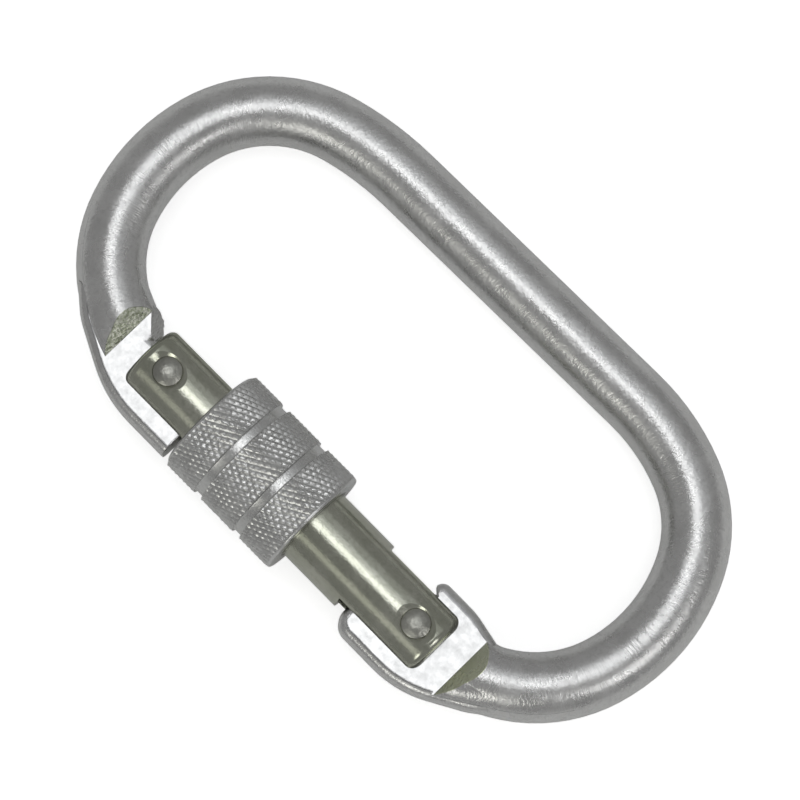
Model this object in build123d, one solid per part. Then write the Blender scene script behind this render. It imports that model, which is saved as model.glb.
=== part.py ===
from build123d import *
import math
import os

# Steel oval locking carabiner, lying flat. Millimetres.
# +X runs along the gate from the latch nose to the hinge eye, +Y from the gate to the spine,
# +Z up out of the mid-plane. The origin is the centre of the whole object's box.

# Round bar, bent into the oval
BAR_D = 10.1
SPINE_Y = 24.41
SPINE_SLOPE = 1.0
SPINE_LEFT_X = -21.85
SPINE_RIGHT_X = 23.78
# Each bend is four tangent arcs from the spine to the gate side: (radius, degrees)
LATCH_BEND = ((49.2, 14.4), (20.35, 60.6), (26.75, 34.1), (19.38, 60.8))
HINGE_BEND = ((32.5, 23.0), (18.95, 40.5), (26.4, 44.1), (20.55, 73.4))

# Ends of the bar, coined flat to go into the gate's slots
GATE_Y = -20.83
COIN_HALF = 3.1
COIN_EDGE_R = 1.4
# Squeezed bar next to each coined end: sections (x, y, heading, width, height, corner radius)
LATCH_SHOULDER = (
    (-31.76, -21.2, 353.0, 10.4, 8.6, 3.0),
    (-36.34, -19.62, 339.0, 10.5, 9.3, 4.1),
    (-40.47, -17.32, 325.0, 9.8, 9.8, 4.8),
)
HINGE_SHOULDER = (
    (32.37, -20.49, 191.0, 12.6, 8.6, 3.0),
    (36.15, -19.32, 202.0, 10.6, 9.3, 4.1),
    (40.70, -16.69, 217.0, 9.8, 9.8, 4.8),
)
LATCH_FLAT_X = -33.3
LATCH_RAMP_RUN = 2.55
HINGE_FLAT_X = 33.7
HINGE_RAMP_RUN = 2.6

# Gate: a slotted tube with a raised thread and a blind bore for its spring
GATE_R = 6.0
GATE_LEFT_X = -29.5
GATE_RIGHT_X = 29.45
LATCH_END_R = 1.2
HINGE_END_R = 1.4
SLOT_HALF = 3.3
LATCH_SLOT_X = -17.0
HINGE_SLOT_X = 14.75
THREAD_ROOT_R = 6.2
THREAD_LEFT_X = -16.2
THREAD_RIGHT_X = -1.0
SPRING_BORE_R = 3.2
SPRING_BORE_END_X = -8.0

# Rivets
HINGE_X = 24.93
LATCH_X = -25.25
RIVET_R = 2.0
RIVET_HEAD_R = 2.1
RIVET_SEAT_Z = 5.25
RIVET_RIM = 0.1
RIVET_DOME = 0.62
SINK_R = 2.9
SINK_DEPTH = 0.55
EYE_CLEARANCE = 0.05

# Cam that the spring pusher bears on: an arc whose centre stands off the hinge's
CAM_R = 3.7
CAM_OFFSET = 2.0
CAM_ANGLE = 75.0
INNER_LIP_X = 23.0
INNER_LIP_Y = -13.34
INNER_LIP_R = 1.45
CHEEK_Y = -26.0

# Lips along the gate's outer side, and the bevel on the nose's inner shoulder
LATCH_LIP_X = -17.75
LATCH_LIP_Y = -29.38
LATCH_LIP_TRIM = 1.0
HINGE_LIP_X = 16.35
HINGE_LIP_Y = -29.15
BEVEL_MIDDLE = (-31.52, -18.17, COIN_HALF)
BEVEL_WIDTH = 6.5
BEVEL_LENGTH = 4.2
BEVEL_SLOPE = 1.27

# Notch in the nose that the latch rivet drops into
NOTCH_HALF = 2.2
NOTCH_X = -25.2
NOTCH_Y = -20.88
LEAD_START_Y = GATE_Y + 1.0
LEAD_WIDTH = 2.4
LEAD_END_Y = GATE_Y + 4.4

# Locking sleeve
SLEEVE_R = 9.0
SLEEVE_LEFT_X = -17.15
SLEEVE_LENGTH = 21.5
SLEEVE_LEFT_EDGE_R = 1.0
SLEEVE_RIGHT_EDGE_R = 0.6
SLEEVE_GROOVES = (7.0, 14.8)
SLEEVE_GROOVE_HALF = 0.65
SLEEVE_GROOVE_DEPTH = 0.4
NUT_R = 6.25
NUT_START = 0.6
NUT_END = 4.6
RELIEF_R = 7.0
GUIDE_R = 6.06
GUIDE_BACK = 3.4
GUIDE_FRONT = 1.8
RING_GROOVE_WIDTH = 1.1

# Drag ring in the sleeve's groove
RING_WIRE_R = 0.45
RING_R = 6.52
RING_OPENING = 30.0

# Spring pusher and spring
PUSHER_R = 3.1
PUSHER_CLEARANCE = 0.05
PUSHER_BACK_X = 8.2
PUSHER_EDGE = 0.35
STEM_R = 1.9
STEM_LENGTH = 4.0
SPRING_WIRE_R = 0.4
SPRING_R = 2.55
SPRING_TURNS = 9
SPRING_END_GAP = 0.03

HINGE = Vector(HINGE_X, GATE_Y, 0)
CAM_CENTRE = HINGE + Vector(CAM_OFFSET, 0, 0).rotate(Axis.Z, CAM_ANGLE)
SPINE_AXIS = Vector(1, 0, 0).rotate(Axis.Z, SPINE_SLOPE)


def rod(radius, x0, x1):
    """Cylinder along X between x0 and x1, centred on the gate's axis."""
    plane = Plane(origin=(x0, GATE_Y, 0), x_dir=(0, 1, 0), z_dir=(1, 0, 0))
    return extrude(plane * Circle(radius), x1 - x0)


def upright(radius, x, y, z0, z1):
    """Cylinder along Z between z0 and z1."""
    return extrude(Pos(x, y, z0) * Circle(radius), z1 - z0)


def block(x0, x1, y0, y1, z0, z1):
    """Box between two corners."""
    return Pos(x0, y0, z0) * Box(x1 - x0, y1 - y0, z1 - z0, align=(Align.MIN,) * 3)


def spine_point(x):
    """Point of the spine's centre line at a given x."""
    return Vector(x, SPINE_Y + x * math.tan(math.radians(SPINE_SLOPE)), 0)


def bend(start, heading, side, arcs):
    """Tangent arcs from the spine round to the gate side; side is +1 to the left, -1 to the right."""
    edges = []
    for radius, degrees in arcs:
        edges.append(JernArc(start=start, tangent=heading, radius=radius, arc_size=side * degrees))
        start = edges[-1] @ 1
        heading = edges[-1] % 1
    return edges


def bar():
    """The round bar, from the nose round the spine to the eye."""
    left = spine_point(SPINE_LEFT_X)
    right = spine_point(SPINE_RIGHT_X)
    path = bend(left, SPINE_AXIS * -1, 1, LATCH_BEND)
    path += [Line(left, right)]
    path += bend(right, SPINE_AXIS, -1, HINGE_BEND)
    path = Wire([edge for line in path for edge in line.edges()])
    return sweep(Plane(origin=path @ 0, z_dir=path % 0) * Circle(BAR_D / 2), path=path)


def rounded(points):
    """Closed face through (x, y, corner radius) points."""
    outline = Polyline([(x, y) for x, y, _ in points], close=True)
    face = make_face(outline)
    for x, y, radius in points:
        if radius:
            corner = face.vertices().sort_by_distance((x, y, 0))[0]
            face = fillet(corner, radius)
    return face


def coined(face):
    """Plate of the coined thickness, its top and bottom edges rounded."""
    plate = extrude(face, COIN_HALF, both=True)
    rims = plate.edges().filter_by(lambda e: abs(abs(e.center().Z) - COIN_HALF) < 1e-4)
    return fillet(rims, COIN_EDGE_R)


def shoulder(sections):
    """Stretch of the bar next to a coined end, squeezed lower and wider than the round."""
    faces = []
    for x, y, heading, width, height, corner in sections:
        plane = Plane(
            origin=(x, y, 0),
            x_dir=Vector(0, 1, 0).rotate(Axis.Z, heading),
            z_dir=Vector(1, 0, 0).rotate(Axis.Z, heading),
        )
        faces.append(plane * RectangleRounded(width, height, corner))
    return loft(faces)


def shoulder_bevel():
    """Material above the slanting bevel on the nose's inner shoulder."""
    plane = Plane(origin=BEVEL_MIDDLE, x_dir=(1, -1, 0), z_dir=(1, 1, BEVEL_SLOPE))
    return extrude(plane * Pos(0, BEVEL_LENGTH / 2) * Rectangle(BEVEL_WIDTH, BEVEL_LENGTH), BAR_D)


def latch_plate():
    """Flat nose: shoulder, notch seat, hook tooth and the outer lip, cut off square."""
    lip_end = LATCH_LIP_X + LATCH_LIP_TRIM
    plate = coined(rounded((
        (-36.3, -15.6, 0),
        (-34.0, -15.1, 0),
        (-32.4, -15.25, 2.5),
        (-30.2, -17.0, 1.5),
        (-29.95, -18.6, 0),
        (-24.45, -18.6, 0),
        (-24.45, -17.0, 0),
        (-19.6, -17.0, 1.5),
        (-19.6, -22.6, 0),
        (lip_end, -25.4, 0.5),
        (lip_end, LATCH_LIP_Y, 1.4),
        (-29.68, LATCH_LIP_Y, 20.7),
        (-40.04, -24.1, 12.0),
        (-44.24, -20.5, 0),
    )))
    return plate - block(LATCH_LIP_X, lip_end + 1, LATCH_LIP_Y - 1, GATE_Y, -BAR_D, BAR_D)


def hinge_plate():
    """Flat eye: inner lip with its undercut, cam, and the long lip along the gate's outer side."""
    cam_left = CAM_CENTRE.X - CAM_R
    outer = coined(rounded((
        (INNER_LIP_X, INNER_LIP_Y, INNER_LIP_R),
        (29.9, INNER_LIP_Y, 12.0),
        (34.8, -14.35, 0),
        (38.0, -18.0, 0),
        (41.16, -22.0, 0),
        (38.86, -23.9, 12.0),
        (29.56, HINGE_LIP_Y, 17.5),
        (HINGE_LIP_X, HINGE_LIP_Y, 2.6),
        (HINGE_LIP_X, -24.45, 1.5),
        (INNER_LIP_X, -24.45, 0),
    )))
    undercut = extrude(make_face(Polyline(
        (INNER_LIP_X - 1, -13.8),
        (INNER_LIP_X + 0.15, -14.6),
        (INNER_LIP_X + 1.4, -15.6),
        (INNER_LIP_X + 1.4, GATE_Y),
        (INNER_LIP_X - 1, GATE_Y),
        close=True,
    )), COIN_HALF, both=True)
    cam = Pos(CAM_CENTRE.X, CAM_CENTRE.Y) * Circle(CAM_R)
    cheek = Pos(cam_left + CAM_R, (CAM_CENTRE.Y + CHEEK_Y) / 2) * Rectangle(2 * CAM_R, CAM_CENTRE.Y - CHEEK_Y)
    return (outer - undercut) + coined(cam + cheek)


def coin_cut(flat_x, run, side):
    """Material above and below the coined flat, with the ramp back up to the bar's surface."""
    rise = BAR_D / 2 - COIN_HALF
    top = 3 * rise
    section = Polyline(
        (flat_x - side * 25, COIN_HALF),
        (flat_x, COIN_HALF),
        (flat_x + side * run * top / rise, COIN_HALF + top),
        (flat_x - side * 25, COIN_HALF + top),
        close=True,
    )
    above = extrude(Plane.XZ.offset(8) * make_face(section), 26)
    return above + mirror(above, about=Plane.XY)


def notch():
    """Slot that the latch rivet drops into, with a lead-in at its mouth."""
    mouth_y = GATE_Y + 8
    lead = make_face(Polyline(
        (NOTCH_X - NOTCH_HALF, LEAD_START_Y),
        (NOTCH_X - NOTCH_HALF - LEAD_WIDTH, LEAD_END_Y),
        (NOTCH_X - NOTCH_HALF - LEAD_WIDTH, mouth_y),
        (NOTCH_X + NOTCH_HALF + 0.5, mouth_y),
        (NOTCH_X + NOTCH_HALF, LEAD_START_Y),
        close=True,
    ))
    seat = Pos(NOTCH_X, NOTCH_Y) * Circle(NOTCH_HALF)
    sides = Pos(NOTCH_X, (NOTCH_Y + LEAD_START_Y) / 2) * Rectangle(2 * NOTCH_HALF, LEAD_START_Y - NOTCH_Y)
    return extrude(seat + sides + lead, 2 * COIN_HALF, both=True)


def frame():
    """The one-piece body: bent bar with its two coined ends."""
    body = bar() + shoulder(LATCH_SHOULDER) + shoulder(HINGE_SHOULDER)
    body -= coin_cut(LATCH_FLAT_X, LATCH_RAMP_RUN, -1)
    body -= coin_cut(HINGE_FLAT_X, HINGE_RAMP_RUN, 1)
    body = body + latch_plate() + hinge_plate()
    bevel = shoulder_bevel()
    body -= bevel
    body -= mirror(bevel, about=Plane.XY)
    body -= notch()
    body -= upright(RIVET_R + EYE_CLEARANCE, HINGE_X, GATE_Y, -2 * COIN_HALF, 2 * COIN_HALF)
    return body


def countersink(x):
    """Dished seat for a rivet head, open upwards."""
    rise = GATE_R - RIVET_SEAT_Z + 0.5
    growth = (SINK_R - RIVET_HEAD_R) / SINK_DEPTH * rise
    cone = Cone(RIVET_HEAD_R, RIVET_HEAD_R + growth, rise, align=(Align.CENTER, Align.CENTER, Align.MIN))
    return Pos(x, GATE_Y, RIVET_SEAT_Z) * cone


def gate_tube():
    """Turned and slotted gate, its middle raised to the root of the sleeve's thread."""
    tube = rod(GATE_R, GATE_LEFT_X, GATE_RIGHT_X)
    tube = fillet(tube.edges().sort_by(Axis.X)[0], LATCH_END_R)
    tube = fillet(tube.edges().sort_by(Axis.X)[-1], HINGE_END_R)
    tube += rod(THREAD_ROOT_R, THREAD_LEFT_X, THREAD_RIGHT_X)
    wide = 2 * GATE_R
    tube -= block(GATE_LEFT_X - 1, LATCH_SLOT_X, GATE_Y - wide, GATE_Y + wide, -SLOT_HALF, SLOT_HALF)
    tube -= block(HINGE_SLOT_X, GATE_RIGHT_X + 1, GATE_Y - wide, GATE_Y + wide, -SLOT_HALF, SLOT_HALF)
    tube -= rod(SPRING_BORE_R, SPRING_BORE_END_X, HINGE_SLOT_X + 1)
    for x in (LATCH_X, HINGE_X):
        tube -= upright(RIVET_R, x, GATE_Y, -wide, wide)
        sink = countersink(x)
        tube -= sink
        tube -= mirror(sink, about=Plane.XY)
    return tube


def rivet(x):
    """Rivet with a low domed head at each end."""
    top = RIVET_SEAT_Z + RIVET_RIM + RIVET_DOME
    ball_r = (RIVET_HEAD_R ** 2 + RIVET_DOME ** 2) / (2 * RIVET_DOME)
    body = upright(RIVET_R, x, GATE_Y, -RIVET_SEAT_Z, RIVET_SEAT_Z)
    head = upright(RIVET_HEAD_R, x, GATE_Y, RIVET_SEAT_Z, top)
    head &= Pos(x, GATE_Y, top - ball_r) * Sphere(ball_r)
    return body + head + mirror(head, about=Plane.XY)


def sleeve_outline():
    """Half section of the sleeve, measured along its length from the latch end."""
    guide = SLEEVE_LENGTH - GUIDE_BACK
    groove = SLEEVE_LENGTH - GUIDE_FRONT
    bore = Polyline(
        (0, NUT_R + NUT_START),
        (NUT_START, NUT_R),
        (NUT_END, NUT_R),
        (NUT_END + RELIEF_R - NUT_R, RELIEF_R),
        (guide, RELIEF_R),
        (guide, GUIDE_R),
        (groove - RING_GROOVE_WIDTH, GUIDE_R),
        (groove - RING_GROOVE_WIDTH, RELIEF_R),
        (groove, RELIEF_R),
        (groove, GUIDE_R),
        (SLEEVE_LENGTH - 0.4, GUIDE_R),
        (SLEEVE_LENGTH, GUIDE_R + 0.4),
        (SLEEVE_LENGTH, SLEEVE_R),
        (0, SLEEVE_R),
        close=True,
    )
    return make_face(bore)


def locking_sleeve():
    """Outer sleeve: nut at the latch end, ring groove at the other, two bands turned outside."""
    plane = Plane(origin=(SLEEVE_LEFT_X, GATE_Y, 0), x_dir=(1, 0, 0), z_dir=(0, -1, 0))
    axis = Axis((SLEEVE_LEFT_X, GATE_Y, 0), (1, 0, 0))
    section = sleeve_outline()
    for x in SLEEVE_GROOVES:
        section -= Pos(x, SLEEVE_R) * Rectangle(2 * SLEEVE_GROOVE_HALF, 2 * SLEEVE_GROOVE_DEPTH)
    body = revolve(plane * section, axis)
    rims = body.edges().filter_by(
        lambda e: e.geom_type == GeomType.CIRCLE and abs(e.radius - SLEEVE_R) < 1e-4
    ).sort_by(Axis.X)
    body = fillet(rims[0], SLEEVE_LEFT_EDGE_R)
    rims = body.edges().filter_by(
        lambda e: e.geom_type == GeomType.CIRCLE and abs(e.radius - SLEEVE_R) < 1e-4
    ).sort_by(Axis.X)
    return fillet(rims[-1], SLEEVE_RIGHT_EDGE_R)


def sleeve_drag_ring():
    """Open wire ring in the sleeve's groove, with its gap towards the spine."""
    x = SLEEVE_LEFT_X + SLEEVE_LENGTH - GUIDE_FRONT - RING_GROOVE_WIDTH / 2
    plane = Plane(origin=(x, GATE_Y, 0), x_dir=(0, 1, 0), z_dir=(1, 0, 0))
    arc = plane * CenterArc((0, 0), RING_R, RING_OPENING / 2, 360 - RING_OPENING)
    return sweep(Plane(origin=arc @ 0, z_dir=arc % 0) * Circle(RING_WIRE_R), path=arc)


def spring_pusher():
    """Plunger whose flat face bears on the cam, with a stem that centres the spring."""
    face_x = CAM_CENTRE.X - CAM_R - PUSHER_CLEARANCE
    head = rod(PUSHER_R, PUSHER_BACK_X, face_x)
    head = chamfer(head.edges().filter_by(GeomType.CIRCLE), PUSHER_EDGE)
    return head + rod(STEM_R, PUSHER_BACK_X - STEM_LENGTH, PUSHER_BACK_X + 1)


def gate_spring():
    """Compression spring between the bore's end and the pusher's shoulder."""
    first = SPRING_BORE_END_X + SPRING_WIRE_R + SPRING_END_GAP
    height = PUSHER_BACK_X - SPRING_WIRE_R - SPRING_END_GAP - first
    helix = Helix(height / SPRING_TURNS, height, SPRING_R, center=(first, GATE_Y, 0), direction=(1, 0, 0))
    return sweep(Plane(origin=helix @ 0, z_dir=helix % 0) * Circle(SPRING_WIRE_R), path=helix)


PARTS = {
    "frame": frame,
    "gate_tube": gate_tube,
    "hinge_rivet": lambda: rivet(HINGE_X),
    "latch_rivet": lambda: rivet(LATCH_X),
    "locking_sleeve": locking_sleeve,
    "sleeve_drag_ring": sleeve_drag_ring,
    "spring_pusher": spring_pusher,
    "gate_spring": gate_spring,
}

os.makedirs("parts", exist_ok=True)
for name, make in PARTS.items():
    export_step(make(), f"parts/{name}.step")
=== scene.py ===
import math

import bmesh
import bpy
from mathutils import Matrix, Vector, noise


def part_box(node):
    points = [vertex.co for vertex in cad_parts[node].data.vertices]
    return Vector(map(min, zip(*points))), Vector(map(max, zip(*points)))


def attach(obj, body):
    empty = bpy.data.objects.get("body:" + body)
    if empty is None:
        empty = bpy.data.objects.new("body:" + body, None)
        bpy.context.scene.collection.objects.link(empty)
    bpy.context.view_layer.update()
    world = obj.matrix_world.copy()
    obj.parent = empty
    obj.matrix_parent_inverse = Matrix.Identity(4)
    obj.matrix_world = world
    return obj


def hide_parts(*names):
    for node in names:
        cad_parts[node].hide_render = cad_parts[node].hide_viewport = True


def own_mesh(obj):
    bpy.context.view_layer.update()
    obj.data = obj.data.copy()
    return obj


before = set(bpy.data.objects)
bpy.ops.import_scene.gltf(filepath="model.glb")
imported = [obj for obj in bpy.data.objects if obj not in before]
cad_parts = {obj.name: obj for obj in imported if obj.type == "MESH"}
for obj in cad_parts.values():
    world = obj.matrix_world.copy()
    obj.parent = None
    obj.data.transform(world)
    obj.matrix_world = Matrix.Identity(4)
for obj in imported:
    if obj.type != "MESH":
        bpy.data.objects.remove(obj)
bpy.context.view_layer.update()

MM = 0.001

# Places read from the frame
SLEEVE_LOW, SLEEVE_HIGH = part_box("locking_sleeve")
BODY_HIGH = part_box("frame")[1]
GATE_Y = (SLEEVE_LOW[1] + SLEEVE_HIGH[1]) / 2
SLEEVE_X = SLEEVE_LOW[0]
SLEEVE_LENGTH = SLEEVE_HIGH[0] - SLEEVE_LOW[0]
SLEEVE_R = (SLEEVE_HIGH[2] - SLEEVE_LOW[2]) / 2
BAR_R = BODY_HIGH[2]
SPINE_Y = BODY_HIGH[1] - BAR_R

# Main view: the camera looks nearly straight down on the flat side, from the gate's side
VIEW_FROM = Vector((0.088, -0.134, 1.0)).normalized()
VIEW_UP = Vector((-1.0, 0.985, 0.0))
VIEW_AIM = Vector((0.227, 0.608, 0.0)) * MM
VIEW_DISTANCE = 0.5
VIEW_LENS = 156.8

# Sleeve in millimetres, measured from its latch end
KNURL_BANDS = ((0.85, 6.25), (7.75, 14.05), (15.55, 21.0))
KNURL_PITCH = 0.98
KNURL_SLOPE = 31.0
KNURL_DEPTH = 0.27
GROOVES = (7.0, 14.8)
GROOVE_HALF = 0.62
GROOVE_DEPTH = 0.42
GROOVE_EDGE_R = 0.2
GROOVE_SHOULDER = 0.16
BAND_OVERLAP = 0.2
CORE_GAP = 0.04
LEFT_EDGE = (0.3, 6.9)
LEFT_EDGE_R = 0.8
RIGHT_EDGE_R = 0.35
RELIEF_R = 7.0
GUIDE_R = 6.06
GUIDE_CHAMFER = 0.4
# Lands and grooves of the bore, counted back from the right end
RING_GROOVE_FRONT = 1.8
RING_GROOVE_BACK = 2.9
GUIDE_BACK = 3.4

# Turned steel: how much its noise is drawn out into rings
RING_STRETCH = 0.04

# Bends of the bar, roughly, for the direction of its grinding marks
BEND_CENTRE = 28.0 * MM
BEND_R = 26.0 * MM

# Coined ends of the frame, and the ramps up to the round bar
COIN_HALF = 3.1 * MM
RAMP_START = 33.5 * MM
RAMP_SLOPE = 0.757
ENDS_CENTRE_X = 0.2 * MM
ENDS_REACH_Y = -13.2 * MM
FLAT_TOLERANCE = 0.04 * MM
RAMP_TOLERANCE = 0.06 * MM

# Coined ends of the frame: each ramp's colours are a painted reflection of the olive surroundings its slope
# faces, darker and speckled at the latch end and paler at the hinge end; then the flats' colours, gloss and
# lack of grain
LATCH_RAMP_REFLECTION_DARK = (0.25, 0.27, 0.20)
LATCH_RAMP_REFLECTION_PALE = (0.42, 0.43, 0.37)
HINGE_RAMP_REFLECTION = (0.60, 0.62, 0.48)
FLAT_DARK = (0.36, 0.36, 0.358)
FLAT_PALE = (0.48, 0.48, 0.478)
FLAT_GLOSS = 0.08
FLAT_SMOOTHING = 0.85

# Screw thread of the gate and of the sleeve's nut, in millimetres; half widths are at the root and crest
THREAD_PITCH = 1.5
THREAD_ROOT = 6.18
THREAD_CREST = 6.68
THREAD_SPAN = (-16.1, -1.1)
THREAD_HALF = (0.55, 0.12)
NUT_ROOT = 6.76
NUT_CREST = 6.27
NUT_SPAN = (0.7, 4.5)
NUT_HALF = (0.5, 0.1)
NUT_PHASE = 0.5
RIDGE_DEPTH = 0.08

# Studio
FLOOR_HALF = 1.6
FLOOR_GAP = 0.02 * MM
PAPER = (0.88, 0.88, 0.875)
PAPER_GLOW = 0.66
SURROUND_LIGHT = 0.32
SURROUND_SEEN = 0.93


# ---------------------------------------------------------------- materials

class Nodes:
    """Small helper that builds one material's node tree."""

    def __init__(self, name):
        self.material = bpy.data.materials.new(name)
        self.material.use_nodes = True
        self.tree = self.material.node_tree
        self.shader = self.tree.nodes["Principled BSDF"]
        self.where = self.add("ShaderNodeTexCoord").outputs["Object"]

    def add(self, kind, **values):
        node = self.tree.nodes.new(kind)
        for key, value in values.items():
            if hasattr(node, key):
                setattr(node, key, value)
            else:
                node.inputs[key].default_value = value
        return node

    def link(self, source, target):
        self.tree.links.new(source, target)

    def noise(self, size_mm, detail=2.0, roughness=0.5):
        """Noise whose features are about size_mm across."""
        node = self.add("ShaderNodeTexNoise", Scale=1.0 / (size_mm * MM), Detail=detail, Roughness=roughness)
        self.link(self.where, node.inputs["Vector"])
        return node.outputs["Fac"]

    def ramp(self, source, low, high, start=0.3, end=0.7):
        """Numbers from low to high as the source goes from start to end."""
        node = self.add("ShaderNodeMapRange")
        for key, value in (("From Min", start), ("From Max", end), ("To Min", low), ("To Max", high)):
            node.inputs[key].default_value = value
        self.link(source, node.inputs["Value"])
        return node.outputs["Result"]

    def mix(self, source, colour_a, colour_b):
        """Colour between two colours or sockets."""
        node = self.add("ShaderNodeMix", data_type="RGBA")
        self.link(source, node.inputs["Factor"])
        for key, colour in (("A", colour_a), ("B", colour_b)):
            socket = [s for s in node.inputs if s.name == key and s.type == "RGBA"][0]
            if isinstance(colour, bpy.types.NodeSocket):
                self.link(colour, socket)
            else:
                socket.default_value = (*colour, 1.0)
        return [s for s in node.outputs if s.type == "RGBA"][0]

    def calc(self, operation, *values):
        """Result of a maths node on numbers or sockets."""
        node = self.add("ShaderNodeMath", operation=operation)
        for socket, value in zip(node.inputs, values):
            if isinstance(value, bpy.types.NodeSocket):
                self.link(value, socket)
            else:
                socket.default_value = value
        return node.outputs[0]

    def axes(self):
        """X, Y and Z of the place on the object."""
        node = self.add("ShaderNodeSeparateXYZ")
        self.link(self.where, node.inputs[0])
        return tuple(node.outputs[key] for key in "XYZ")

    def bump(self, layers):
        """Bumps on bumps: (height socket, depth in mm) pairs, coarse first."""
        normal = None
        for height, depth_mm in layers:
            node = self.add("ShaderNodeBump", Strength=1.0, Distance=depth_mm * MM)
            self.link(height, node.inputs["Height"])
            if normal is not None:
                self.link(normal, node.inputs["Normal"])
            normal = node.outputs["Normal"]
        self.link(normal, self.shader.inputs["Normal"])


def across_bar(nodes, stretch):
    """Coordinates that run along the bent bar and are stretched across it."""
    x, y, z = nodes.axes()
    near = nodes.calc("MINIMUM", nodes.calc("MAXIMUM", x, -BEND_CENTRE), BEND_CENTRE)
    turn = nodes.calc("ARCTAN2", nodes.calc("SUBTRACT", x, near), y)
    along = nodes.calc("ADD", near, nodes.calc("MULTIPLY", turn, BEND_R))
    joined = nodes.add("ShaderNodeCombineXYZ")
    nodes.link(along, joined.inputs[0])
    nodes.link(nodes.calc("MULTIPLY", y, stretch), joined.inputs[1])
    nodes.link(nodes.calc("MULTIPLY", z, stretch), joined.inputs[2])
    return joined.outputs[0]


def coined_masks(nodes):
    """Masks of the frame's coined flats and of the ramps that lead up from them."""
    x, y, z = nodes.axes()
    height = nodes.calc("ABSOLUTE", z, 0.0)
    reach = nodes.calc("ABSOLUTE", nodes.calc("SUBTRACT", x, ENDS_CENTRE_X), 0.0)
    near_gate = nodes.calc("LESS_THAN", y, ENDS_REACH_Y)
    level = nodes.calc("COMPARE", height, COIN_HALF, FLAT_TOLERANCE)
    slope = nodes.calc("SUBTRACT", height, nodes.calc("MULTIPLY", reach, RAMP_SLOPE))
    ramp = nodes.calc("COMPARE", slope, COIN_HALF - RAMP_SLOPE * RAMP_START, RAMP_TOLERANCE)
    above = nodes.calc("GREATER_THAN", height, COIN_HALF + FLAT_TOLERANCE)
    flat_mask = nodes.calc("MULTIPLY", level, near_gate)
    ramp_mask = nodes.calc("MULTIPLY", ramp, nodes.calc("MULTIPLY", above, near_gate))
    return flat_mask, ramp_mask


def ends_finish_and_painted_reflection(nodes, colour, roughness, grain):
    """Frame metal: coined flats smooth and pale, ramps given a painted olive reflection of their
    surroundings, and the latch end's ramp speckled.
    """
    flat, ramp = coined_masks(nodes)
    at_hinge = nodes.calc("GREATER_THAN", nodes.axes()[0], 0.0)
    specks = nodes.ramp(nodes.noise(0.45), 0.0, 1.0, 0.42, 0.58)
    # Painted reflection: the ramps take the olive of the surroundings they face, darker at the latch end
    # than at the hinge end
    olive = nodes.mix(at_hinge, nodes.mix(specks, LATCH_RAMP_REFLECTION_DARK, LATCH_RAMP_REFLECTION_PALE), HINGE_RAMP_REFLECTION)
    clouds = nodes.ramp(nodes.noise(1.2, detail=3.0), 0.0, 1.0)
    pale = nodes.mix(clouds, FLAT_DARK, FLAT_PALE)
    colour = nodes.mix(ramp, nodes.mix(flat, colour, pale), olive)
    roughness = nodes.calc("SUBTRACT", roughness, nodes.calc("MULTIPLY", flat, FLAT_GLOSS))
    kept = nodes.calc("SUBTRACT", 1.0, nodes.calc("MULTIPLY", flat, FLAT_SMOOTHING))
    grain = nodes.calc("MULTIPLY", grain, kept)
    return colour, roughness, grain


def plating(name, dull, bright, rough, grain_mm, grain_depth, dent_depth, brushed=None):
    """Zinc plating on steel: crystalline grain, faint dents under it, and clouds in colour and gloss."""
    nodes = Nodes(name)
    plain = nodes.where
    if brushed:
        nodes.where = across_bar(nodes, brushed)
    grain = nodes.noise(grain_mm, detail=3.0, roughness=0.6)
    nodes.where = plain
    clouds = nodes.noise(5.0, detail=3.0, roughness=0.6)
    dents = nodes.noise(1.3, detail=1.0)
    speckle = nodes.noise(grain_mm * 1.7, detail=2.0)
    base = nodes.mix(nodes.ramp(clouds, 0.0, 1.0, 0.35, 0.65), dull, bright)
    darker = tuple(c * 0.86 for c in dull)
    colour = nodes.mix(nodes.ramp(speckle, 0.0, 0.45, 0.5, 0.68), base, darker)
    roughness = nodes.ramp(clouds, rough[0], rough[1])
    if brushed:
        colour, roughness, grain = ends_finish_and_painted_reflection(nodes, colour, roughness, grain)
    nodes.link(colour, nodes.shader.inputs["Base Color"])
    nodes.shader.inputs["Metallic"].default_value = 1.0
    nodes.link(roughness, nodes.shader.inputs["Roughness"])
    nodes.bump(((dents, dent_depth), (grain, grain_depth)))
    return nodes.material


def turned(name, dull, bright, rough, line_mm, line_depth):
    """Turned steel: fine rings across the X axis, with a little grain."""
    nodes = Nodes(name)
    plain = nodes.where
    stretch = nodes.add("ShaderNodeMapping")
    stretch.inputs["Scale"].default_value = (1.0, RING_STRETCH, RING_STRETCH)
    nodes.link(plain, stretch.inputs["Vector"])
    nodes.where = stretch.outputs["Vector"]
    rings = nodes.noise(line_mm, detail=2.0)
    nodes.where = plain
    grain = nodes.noise(0.16, detail=2.0)
    clouds = nodes.noise(3.0, detail=3.0)
    nodes.link(nodes.mix(nodes.ramp(clouds, 0.0, 1.0), dull, bright), nodes.shader.inputs["Base Color"])
    nodes.shader.inputs["Metallic"].default_value = 1.0
    nodes.link(nodes.ramp(clouds, rough[0], rough[1]), nodes.shader.inputs["Roughness"])
    nodes.bump(((rings, line_depth), (grain, line_depth * 0.6)))
    return nodes.material


def dress(node, material):
    """Gives a CAD node its material."""
    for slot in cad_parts[node].material_slots:
        slot.material = material


# ---------------------------------------------------------------- meshes

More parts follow.
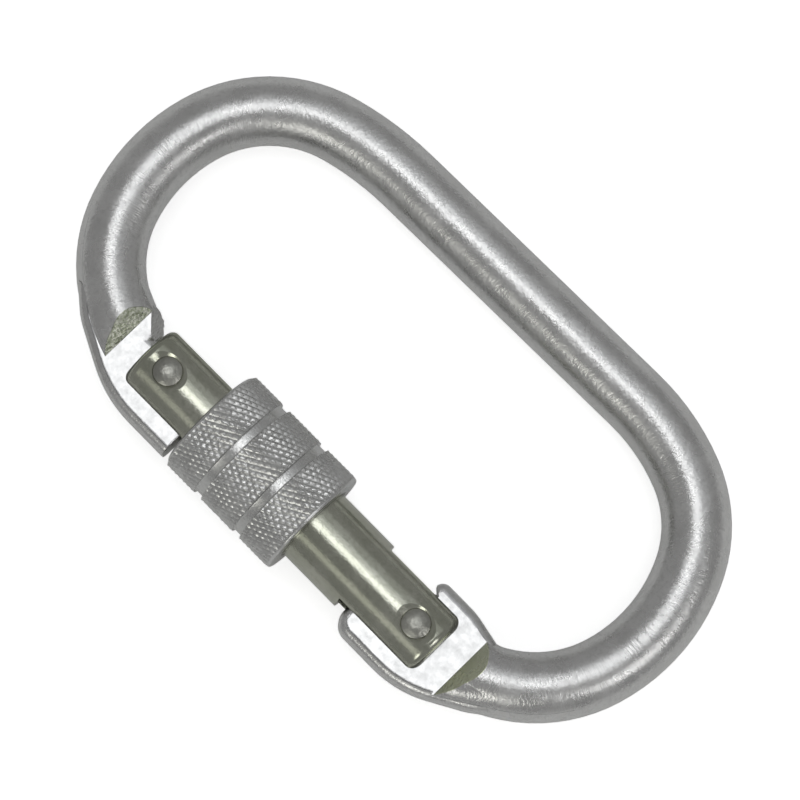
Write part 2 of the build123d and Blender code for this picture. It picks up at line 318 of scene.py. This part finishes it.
def piece(name, bm, body, material, smooth_angle=35.0):
    """Object from a bmesh, shaded smooth except at sharp edges, riding on a body."""
    bmesh.ops.recalc_face_normals(bm, faces=bm.faces)
    for face in bm.faces:
        face.smooth = True
    limit = math.radians(smooth_angle)
    for edge in bm.edges:
        edge.smooth = len(edge.link_faces) == 2 and edge.calc_face_angle(0.0) < limit
    mesh = bpy.data.meshes.new(name)
    bm.to_mesh(mesh)
    bm.free()
    made = bpy.data.objects.new(name, mesh)
    bpy.context.scene.collection.objects.link(made)
    mesh.materials.append(material)
    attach(made, body)
    return made


def around(x, radius, angle):
    """Point in metres at an angle about the gate's axis; x and radius in mm from the sleeve's end."""
    return Vector((
        SLEEVE_X + x * MM,
        GATE_Y + radius * MM * math.cos(angle),
        radius * MM * math.sin(angle),
    ))


def arc(x, radius, size, start, end, steps=6):
    """Points of a quarter-round in the sleeve's section."""
    points = []
    for step in range(steps + 1):
        angle = math.radians(start + (end - start) * step / steps)
        points.append((x + size * math.cos(angle), radius + size * math.sin(angle)))
    return points


def lathe(bm, section, turns=160):
    """Closed ring from a closed section of (x, radius) points."""
    rings = []
    for step in range(turns):
        angle = 2 * math.pi * step / turns
        rings.append([bm.verts.new(around(x, radius, angle)) for x, radius in section])
    for ring, following in zip(rings, rings[1:] + rings[:1]):
        for index in range(len(section)):
            after = (index + 1) % len(section)
            bm.faces.new((ring[index], ring[after], following[after], following[index]))


def knurl_height(across, along):
    """Height, from 0 in the cuts to 1 on top, of a diamond knurl at lattice coordinates."""
    cut_a = abs((across + 0.5) % 1.0 - 0.5) * 2
    cut_b = abs((along + 0.5) % 1.0 - 0.5) * 2
    return min(1.0, 1.3 * min(cut_a, 0.25 + 0.75 * cut_b))


def knurl(bm, start, end, top, depth, core):
    """Closed ring with diamond points on its outside.

    The lattice runs along the two families of cuts, so each cut is a line of edges. It is laid out flat,
    trimmed to the band, and then rolled round the axis.
    """
    count = round(2 * math.pi * SLEEVE_R / MM / KNURL_PITCH)
    step_y = 2 * math.pi / count
    step_x = KNURL_PITCH / math.tan(math.radians(KNURL_SLOPE))
    fine = 4
    reach = math.ceil((end - start) / step_x) + 1
    flat = bmesh.new()
    grid = {}
    for i in range(-fine, (count + reach + 1) * fine + 1):
        for j in range(-reach * fine - fine, (count + 1) * fine + 1):
            a, b = i / fine, j / fine
            x = start + (a - b) / 2 * step_x
            y = (a + b) / 2 * step_y
            if start - step_x < x < end + step_x and -step_y < y < 2 * math.pi + step_y:
                vert = flat.verts.new((x, y, knurl_height(a, b)))
                grid[i, j] = vert
    for i, j in list(grid):
        corners = [(i, j), (i + 1, j), (i + 1, j + 1), (i, j + 1)]
        if all(corner in grid for corner in corners):
            flat.faces.new([grid[corner] for corner in corners])
    for point, normal in (((start, 0, 0), (-1, 0, 0)), ((end, 0, 0), (1, 0, 0)),
                          ((0, 0, 0), (0, -1, 0)), ((0, 2 * math.pi, 0), (0, 1, 0))):
        geom = flat.verts[:] + flat.edges[:] + flat.faces[:]
        bmesh.ops.bisect_plane(flat, geom=geom, plane_co=point, plane_no=normal, clear_outer=True, dist=1e-7)
    rims = [e for e in flat.edges if e.is_boundary
            and abs(e.verts[0].co.x - e.verts[1].co.x) < 1e-6
            and min(abs(e.verts[0].co.x - start), abs(e.verts[0].co.x - end)) < 1e-5]
    lower = bmesh.ops.extrude_edge_only(flat, edges=rims)["geom"]
    for vert in lower:
        if isinstance(vert, bmesh.types.BMVert):
            vert.co.z = -1000.0
    floor = [e for e in lower if isinstance(e, bmesh.types.BMEdge)
             and e.verts[0].co.z < -1 and e.verts[1].co.z < -1]
    near = [e for e in floor if e.verts[0].co.x < (start + end) / 2]
    closing = bmesh.ops.extrude_edge_only(flat, edges=near)
    for vert in closing["geom"]:
        if isinstance(vert, bmesh.types.BMVert):
            vert.co.x = end
    for vert in flat.verts:
        x, angle, height = vert.co
        place = around(x, top, angle)
        wear = 1.0 - 0.5 * abs(noise.noise(place / (0.9 * MM)))
        radius = core if height < -1 else top - depth * (1 - height * wear)
        vert.co = around(x, radius, angle)
    bmesh.ops.remove_doubles(flat, verts=flat.verts, dist=2e-7)
    bmesh.ops.dissolve_degenerate(flat, edges=flat.edges, dist=1e-7)
    mesh = bpy.data.meshes.new("band")
    flat.to_mesh(mesh)
    flat.free()
    bm.from_mesh(mesh)
    bpy.data.meshes.remove(mesh)


def helix(bm, start, end, root, crest, half_widths, phase=0.0, place=around, turn_steps=56):
    """Closed helical ridge between two x positions; it fades into the root at both ends."""
    half_root, half_crest = half_widths
    turns = (end - start) / THREAD_PITCH
    steps = round(turns * turn_steps)
    out = 1 if crest > root else -1
    rings = []
    for step in range(steps + 1):
        x = start + (end - start) * step / steps
        angle = 2 * math.pi * ((x - start) / THREAD_PITCH + phase)
        fade = min(1.0, 2.0 * step / turn_steps, 2.0 * (steps - step) / turn_steps)
        fade = 0.02 + 0.98 * math.sin(fade * math.pi / 2)
        top = root + (crest - root) * fade
        section = (
            (x - half_root, root - out * RIDGE_DEPTH),
            (x - half_root, root),
            (x - half_crest, top),
            (x + half_crest, top),
            (x + half_root, root),
            (x + half_root, root - out * RIDGE_DEPTH),
        )
        rings.append([bm.verts.new(place(px, pr, angle)) for px, pr in section])
    for ring, following in zip(rings, rings[1:]):
        for index in range(len(ring)):
            after = (index + 1) % len(ring)
            bm.faces.new((ring[index], ring[after], following[after], following[index]))
    bm.faces.new(rings[0])
    bm.faces.new(rings[-1])


def sleeve_section():
    """Section of the sleeve without its knurl: outside from the latch end, then back along the bore."""
    top = SLEEVE_R / MM
    core = top - KNURL_DEPTH - CORE_GAP
    length = SLEEVE_LENGTH / MM
    left_x, left_r = LEFT_EDGE
    points = [(left_x, left_r)]
    points += arc(left_x + LEFT_EDGE_R, core - LEFT_EDGE_R, LEFT_EDGE_R, 180, 90, steps=8)
    half_edge = GROOVE_EDGE_R / 2
    bottom = top - GROOVE_DEPTH + half_edge
    for x in GROOVES:
        near, far = x - GROOVE_HALF, x + GROOVE_HALF
        points += [(near - GROOVE_SHOULDER, core)]
        points += arc(near + half_edge, bottom, GROOVE_EDGE_R, 200, 270, steps=4)
        points += arc(far - half_edge, bottom, GROOVE_EDGE_R, 270, 340, steps=4)
        points += [(far + GROOVE_SHOULDER, core)]
    points += [(KNURL_BANDS[-1][1], core)]
    points += arc(length - RIGHT_EDGE_R, top - 0.5, RIGHT_EDGE_R, 115, 0, steps=8)
    points += [
        (length, GUIDE_R + GUIDE_CHAMFER),
        (length - GUIDE_CHAMFER, GUIDE_R),
        (length - RING_GROOVE_FRONT, GUIDE_R),
        (length - RING_GROOVE_FRONT, RELIEF_R),
        (length - RING_GROOVE_BACK, RELIEF_R),
        (length - RING_GROOVE_BACK, GUIDE_R),
        (length - GUIDE_BACK, GUIDE_R),
        (length - GUIDE_BACK, RELIEF_R),
        (NUT_SPAN[1] + 0.85, RELIEF_R),
        (NUT_SPAN[1] + 0.6, NUT_ROOT),
        (NUT_SPAN[0] - 0.3, NUT_ROOT),
    ]
    return points


def build_sleeve(material):
    """The knurled sleeve: turned body, three knurled bands and the nut's thread."""
    bm = bmesh.new()
    lathe(bm, sleeve_section())
    top = SLEEVE_R / MM
    for start, end in KNURL_BANDS:
        knurl(bm, start, end, top, KNURL_DEPTH, top - KNURL_DEPTH - BAND_OVERLAP)
    helix(bm, *NUT_SPAN, NUT_ROOT, NUT_CREST, NUT_HALF, phase=NUT_PHASE)
    made = piece("knurled_sleeve", bm, "sleeve", material, smooth_angle=28.0)
    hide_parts("locking_sleeve")


def build_thread(material):
    """The screw thread that stands out of the gate's middle."""
    shift = SLEEVE_X / MM

    def on_gate(x, radius, angle):
        return around(x - shift, radius, angle)

    bm = bmesh.new()
    helix(bm, *THREAD_SPAN, THREAD_ROOT, THREAD_CREST, THREAD_HALF, place=on_gate)
    made = piece("gate_thread", bm, "gate", material)


def build_spring(material):
    """The gate's spring: a copy of the CAD spring with its own mesh and material, riding on the gate."""
    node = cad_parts["gate_spring"]
    made = node.copy()
    made.data = node.data.copy()
    made.name = "closing_spring"
    bpy.context.scene.collection.objects.link(made)
    made.data.materials.clear()
    made.data.materials.append(material)
    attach(made, "gate")
    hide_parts("gate_spring")
    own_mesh(made)


# ---------------------------------------------------------------- studio

def aim(thing, target, up):
    """Turns a camera or light to face a point."""
    back = (thing.location - target).normalized()
    right = up.cross(back).normalized()
    turn = Matrix((right, back.cross(right), back)).transposed()
    thing.matrix_world = Matrix.Translation(thing.location) @ turn.to_4x4()


def build_camera():
    """The main view."""
    data = bpy.data.cameras.new("main_camera")
    data.lens = VIEW_LENS
    data.sensor_width = 36.0
    data.clip_start = 0.01
    camera = bpy.data.objects.new("main_camera", data)
    bpy.context.scene.collection.objects.link(camera)
    camera.location = VIEW_AIM + VIEW_FROM * VIEW_DISTANCE
    aim(camera, VIEW_AIM, VIEW_UP)
    bpy.context.scene.camera = camera


def softbox(name, centre, wide, high, radiance, colour, distance=1.0):
    """Area light, as bright as a surface of that radiance, that faces the object.

    The centre is in degrees from straight up towards +X and +Y, the size in degrees along X and Y.
    """
    data = bpy.data.lights.new(name, "AREA")
    data.shape = "RECTANGLE"
    data.color = colour
    data.size = 2 * distance * math.tan(math.radians(wide / 2))
    data.size_y = 2 * distance * math.tan(math.radians(high / 2))
    data.energy = radiance * math.pi * data.size * data.size_y
    light = bpy.data.objects.new(name, data)
    bpy.context.scene.collection.objects.link(light)
    off = Vector((math.radians(centre[0]), math.radians(centre[1]), 0.0))
    lean = off.length
    light.location = (off.normalized() * math.sin(lean) + Vector((0, 0, math.cos(lean)))) * distance
    aim(light, Vector((0, 0, 0)), Vector((0, 1, 0)))


def build_world(level, seen):
    """Even grey surroundings, which the camera sees as pale as the floor."""
    world = bpy.data.worlds.new("studio")
    bpy.context.scene.world = world
    world.use_nodes = True
    tree = world.node_tree
    tree.nodes.clear()
    path = tree.nodes.new("ShaderNodeLightPath")
    mix = tree.nodes.new("ShaderNodeMixShader")
    out = tree.nodes.new("ShaderNodeOutputWorld")
    tree.links.new(path.outputs["Is Camera Ray"], mix.inputs[0])
    for index, value in ((1, level), (2, seen)):
        back = tree.nodes.new("ShaderNodeBackground")
        back.inputs["Color"].default_value = (1.0, 1.0, 1.0, 1.0)
        back.inputs["Strength"].default_value = value
        tree.links.new(back.outputs[0], mix.inputs[index])
    tree.links.new(mix.outputs[0], out.inputs["Surface"])


def build_floor(paper, glow):
    """Pale sheet that the sleeve and the spine both lie on, so it leans a little from level.

    It glows for the camera alone, which sees it as white.
    """
    low_r, high_r = SLEEVE_R, BAR_R
    tilt = math.asin((low_r - high_r) / (SPINE_Y - GATE_Y))
    bm = bmesh.new()
    bmesh.ops.create_grid(bm, x_segments=8, y_segments=8, size=FLOOR_HALF)
    mesh = bpy.data.meshes.new("floor")
    bm.to_mesh(mesh)
    bm.free()
    floor = bpy.data.objects.new("floor", mesh)
    bpy.context.scene.collection.objects.link(floor)
    normal = Vector((0, -math.sin(tilt), math.cos(tilt)))
    floor.matrix_world = (
        Matrix.Translation(Vector((0, GATE_Y, 0)) - normal * (low_r + FLOOR_GAP))
        @ Matrix.Rotation(tilt, 4, "X")
    )
    nodes = Nodes("floor_paper")
    nodes.shader.inputs["Roughness"].default_value = 0.9
    nodes.shader.inputs["Specular IOR Level"].default_value = 0.1
    fibre = nodes.noise(0.8, detail=3.0)
    shade = tuple(c * 0.985 for c in paper)
    nodes.link(nodes.mix(nodes.ramp(fibre, 0.0, 1.0), paper, shade), nodes.shader.inputs["Base Color"])
    path = nodes.add("ShaderNodeLightPath")
    light = nodes.add("ShaderNodeMath", operation="MULTIPLY")
    light.inputs[1].default_value = glow
    nodes.link(path.outputs["Is Camera Ray"], light.inputs[0])
    nodes.shader.inputs["Emission Color"].default_value = (1.0, 1.0, 1.0, 1.0)
    nodes.link(light.outputs[0], nodes.shader.inputs["Emission Strength"])
    mesh.materials.append(nodes.material)


def build_lights():
    """One softbox overhead, two weaker ones fading towards the spine, one at the hinge and two in front."""
    softbox("top_light", (-5.0, 0.5), 34.0, 17.0, 2.2, (0.99, 1.0, 1.015), distance=1.1)
    softbox("top_spill", (-5.0, 17.0), 34.0, 16.0, 0.75, (0.97, 1.0, 1.03), distance=1.1)
    softbox("top_fade", (-2.0, 36.0), 44.0, 22.0, 0.22, (0.97, 1.0, 1.03), distance=1.1)
    softbox("hinge_light", (51.0, 1.0), 18.0, 18.0, 2.5, (1.0, 1.0, 1.0), distance=0.42)
    softbox("front_light", (22.5, -55.7), 18.0, 18.0, 2.4, (1.0, 1.0, 0.94))
    softbox("front_spill", (2.0, -54.0), 26.0, 15.0, 0.45, (1.0, 1.0, 0.9))


# ---------------------------------------------------------------- the object

def build_object():
    """Materials on the CAD nodes, and the pieces that replace or add to them."""
    body = plating(
        "frame_zinc", (0.57, 0.568, 0.56), (0.65, 0.648, 0.64), (0.23, 0.32), 0.34, 0.08, 0.02, brushed=0.45
    )
    gate = plating("gate_zinc", (0.39, 0.40, 0.33), (0.46, 0.465, 0.40), (0.13, 0.20), 0.35, 0.02, 0.012)
    rivet = plating("rivet_zinc", (0.33, 0.33, 0.30), (0.42, 0.42, 0.38), (0.26, 0.38), 0.5, 0.08, 0.08)
    sleeve = plating("sleeve_zinc", (0.54, 0.54, 0.53), (0.62, 0.62, 0.61), (0.22, 0.32), 0.42, 0.06, 0.006)
    steel = turned("pusher_steel", (0.42, 0.41, 0.38), (0.52, 0.51, 0.48), (0.25, 0.35), 0.09, 0.004)
    wire = turned("spring_wire", (0.30, 0.30, 0.31), (0.38, 0.38, 0.39), (0.22, 0.32), 0.07, 0.003)
    dress("frame", body)
    dress("gate_tube", gate)
    for node in ("hinge_rivet", "latch_rivet"):
        dress(node, rivet)
    dress("spring_pusher", steel)
    dress("sleeve_drag_ring", wire)
    build_spring(wire)
    build_sleeve(sleeve)
    build_thread(gate)


def write_sizes():
    """Defines a helper that turns a box into plain numbers; it computes and writes nothing."""
    def plain(box):
        return [[float(value) for value in corner] for corner in box]


build_camera()
build_world(SURROUND_LIGHT, SURROUND_SEEN)
build_floor(PAPER, PAPER_GLOW)
build_lights()
build_object()
bpy.context.scene.view_settings.view_transform = "Standard"
write_sizes()
